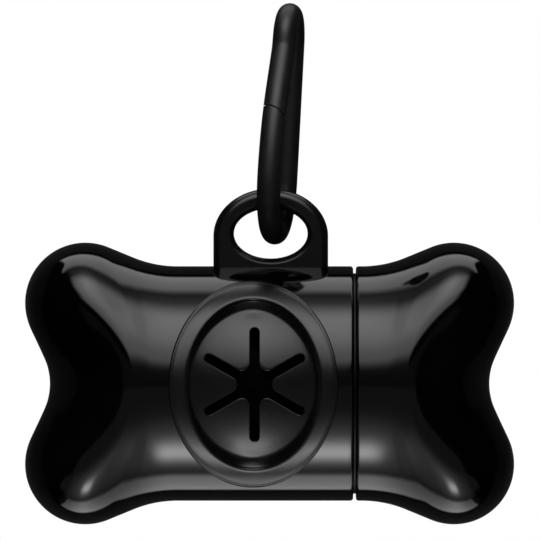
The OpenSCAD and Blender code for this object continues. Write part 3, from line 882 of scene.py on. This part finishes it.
def soft_panel(name, elev, side, glow, rows_count=90, cols_count=70, radius=1.6):
    """A curved studio panel round the object. elev and side are ranges in degrees: elevation from
    the front over the top, and the angle to the side. glow gives the light at (elevation, side)."""
    e, s = np.linspace(*elev, rows_count), np.linspace(*side, cols_count)
    points, values = [], []
    for ed in e:
        for sd in s:
            er, sr = math.radians(ed), math.radians(sd)
            points.append((radius * math.sin(sr), -radius * math.cos(sr) * math.cos(er),
                           radius * math.cos(sr) * math.sin(er)))
            values.append(max(0.0, glow(ed, sd)))
    corners = [i * cols_count + j for i in range(rows_count - 1) for j in range(cols_count - 1)]
    faces = [(c, c + 1, c + cols_count + 1, c + cols_count) for c in corners]
    mesh = bpy.data.meshes.new(name)
    mesh.from_pydata(points, [], faces)
    attribute = mesh.attributes.new("glow", "FLOAT", "POINT")
    attribute.data.foreach_set("value", values)
    material = bpy.data.materials.new(name)
    material.use_nodes = True
    nodes, links = material.node_tree.nodes, material.node_tree.links
    nodes.clear()
    reader = nodes.new("ShaderNodeAttribute")
    reader.attribute_name = "glow"
    emission, output = nodes.new("ShaderNodeEmission"), nodes.new("ShaderNodeOutputMaterial")
    links.new(reader.outputs["Fac"], emission.inputs["Strength"])
    links.new(emission.outputs["Emission"], output.inputs["Surface"])
    mesh.materials.append(material)
    obj = bpy.data.objects.new(name, mesh)
    bpy.context.scene.collection.objects.link(obj)
    obj.visible_camera = False
    obj.visible_shadow = False


def bell(x, centre, width):
    return math.exp(-((x - centre) / width) ** 2 / 2)


def ramp(x, x0, x1):
    """Smooth rise from 0 at x0 to 1 at x1."""
    k = min(1.0, max(0.0, (x - x0) / (x1 - x0)))
    return k * k * (3 - 2 * k)


def stops(x, table):
    """Smooth curve through the table's (position, value) rows."""
    for (x0, v0), (x1, v1) in zip(table, table[1:]):
        if x <= x1:
            return v0 + (v1 - v0) * ramp(x, x0, x1)
    return table[-1][1]


# Glow of the softbox in front and its half width, by elevation; middles of its core and of the lamp
FIELD = ((10, 0.3), (26, 1.35), (45, 1.85), (66, 1.85), (88, 0.22))
FIELD_SIDE = ((12, 14), (30, 30), (55, 36), (92, 36))
CORE_ELEV = 62
LAMP_ELEV, LAMP_SIDE = -71, 1.3


def above(e, s):
    """Strip over the back, softbox over the front with a brighter core, and faint light below it."""
    wide = 15 * bell(e, 103, 7)
    strip = 1.5 * ramp(e, 95, 108) * (1 - ramp(e - 0.008 * s * s, 127, 131)) * (1 - 0.15 * abs(s) / 26)
    tilted = e - 0.12 * s
    core = 1.55 * bell(tilted, CORE_ELEV, 13 if tilted > CORE_ELEV else 18) * bell(s, 0, 11)
    field = stops(tilted, FIELD) * ramp(e - 0.25 * abs(s), 9, 23) + core
    side = stops(e, FIELD_SIDE)
    faint = 0.05 * (1 - ramp(e, 10, 16)) * (1 - ramp(abs(s), 36, 44))
    return (faint + strip * (1 - ramp(abs(s), 23 + wide, 27 + wide))
            + field * (1 - ramp(abs(s) - side, -14, 1)) * (1 - ramp(e, 92, 102)))


def below(e, s):
    """Small lamp low in front with its halo, the faint table before it, and strip low behind."""
    tall, broad = 8.5 if e > LAMP_ELEV else 7, 6.5 if s > LAMP_SIDE else 8
    lamp = 5.6 * bell(e, LAMP_ELEV, tall) * math.exp(-(abs(s - LAMP_SIDE) / broad) ** 3)
    halo = 0.85 * bell(e, -66, 17) * bell(s, 0, 13) + 0.12 * ramp(-e, 25, 48)
    wide = 38 + 15 * ramp(-e, 28, 50)
    table = ((0.1 * ramp(-e, 1, 4) + 0.05 * ramp(e, -4, -1)) * (1 - ramp(abs(s), wide, wide + 8))
             * (1 - ramp(-e, 80, 100)))
    rear = ((0.6 + 1.15 * bell(s, 0, 11)) * ramp(-e, 96, 106) * (1 - ramp(-e, 125, 130))
            * (1 - ramp(abs(s), 26, 29)))
    halo *= (1 - ramp(abs(s), 30, 42)) * (1 - 0.7 * ramp(-e, 96, 106)) * (1 - ramp(-e, 120, 130))
    return lamp + halo + table + rear


def room(e, s):
    """Dim room behind the object, seen in its rims."""
    away = -math.cos(math.radians(s)) * math.cos(math.radians(e))
    return (0.014 + 0.011 * bell(s, 0, 32)) * ramp(away, 0.34, 0.38)


soft_panel("panels_above", (2, 136), (-54, 54), above, 150, 90)
soft_panel("panels_below", (-132, 2), (-62, 62), below, 150, 110)
soft_panel("panel_room", (100, 260), (-80, 80), room, radius=2.4)

world = bpy.data.worlds.new("studio")
world.use_nodes = True
world.node_tree.nodes["Background"].inputs["Color"].default_value = (1, 1, 1, 1)
world.node_tree.nodes["Background"].inputs["Strength"].default_value = 1.0
world.cycles_visibility.glossy = False
bpy.context.scene.world = world

FLOOR_HALF, FLOOR_Z = 0.6, -0.062
floor_mesh = bpy.data.meshes.new("floor")
corners = [(x * FLOOR_HALF, y * FLOOR_HALF, FLOOR_Z) for x, y in ((-1, -1), (1, -1), (1, 1), (-1, 1))]
floor_mesh.from_pydata(corners, [], [(0, 1, 2, 3)])
floor_paint, nodes, links, shader = node_material("floor_paint")
mottle = noise(nodes, links, 3, 2)
links.new(tint(nodes, links, mottle.outputs["Fac"], (0.86, 0.86, 0.86), (0.88, 0.88, 0.88)),
          shader.inputs["Base Color"])
shader.inputs["Roughness"].default_value = 0.9
floor_mesh.materials.append(floor_paint)
floor = bpy.data.objects.new("floor", floor_mesh)
bpy.context.scene.collection.objects.link(floor)
floor.visible_glossy = False

# The photograph's width and scale, and the place in the model that its middle shows
PHOTO_PIXELS, PIXELS_PER_MM = 540, 5.757
VIEW_X, VIEW_Z = 0.07, 19.71
DISTANCE, VIEW_WIDTH = 2.0, PHOTO_PIXELS / PIXELS_PER_MM * MM
camera_data = bpy.data.cameras.new("camera")
camera_data.angle = 2 * math.atan(VIEW_WIDTH / 2 / DISTANCE)
camera_data.clip_end = 30
camera = bpy.data.objects.new("camera", camera_data)
camera.location = Vector((VIEW_X * MM, -DISTANCE, VIEW_Z * MM))
camera.rotation_euler = (PI / 2, 0, 0)
bpy.context.scene.collection.objects.link(camera)
bpy.context.scene.camera = camera
bpy.context.scene.view_settings.view_transform = "Standard"
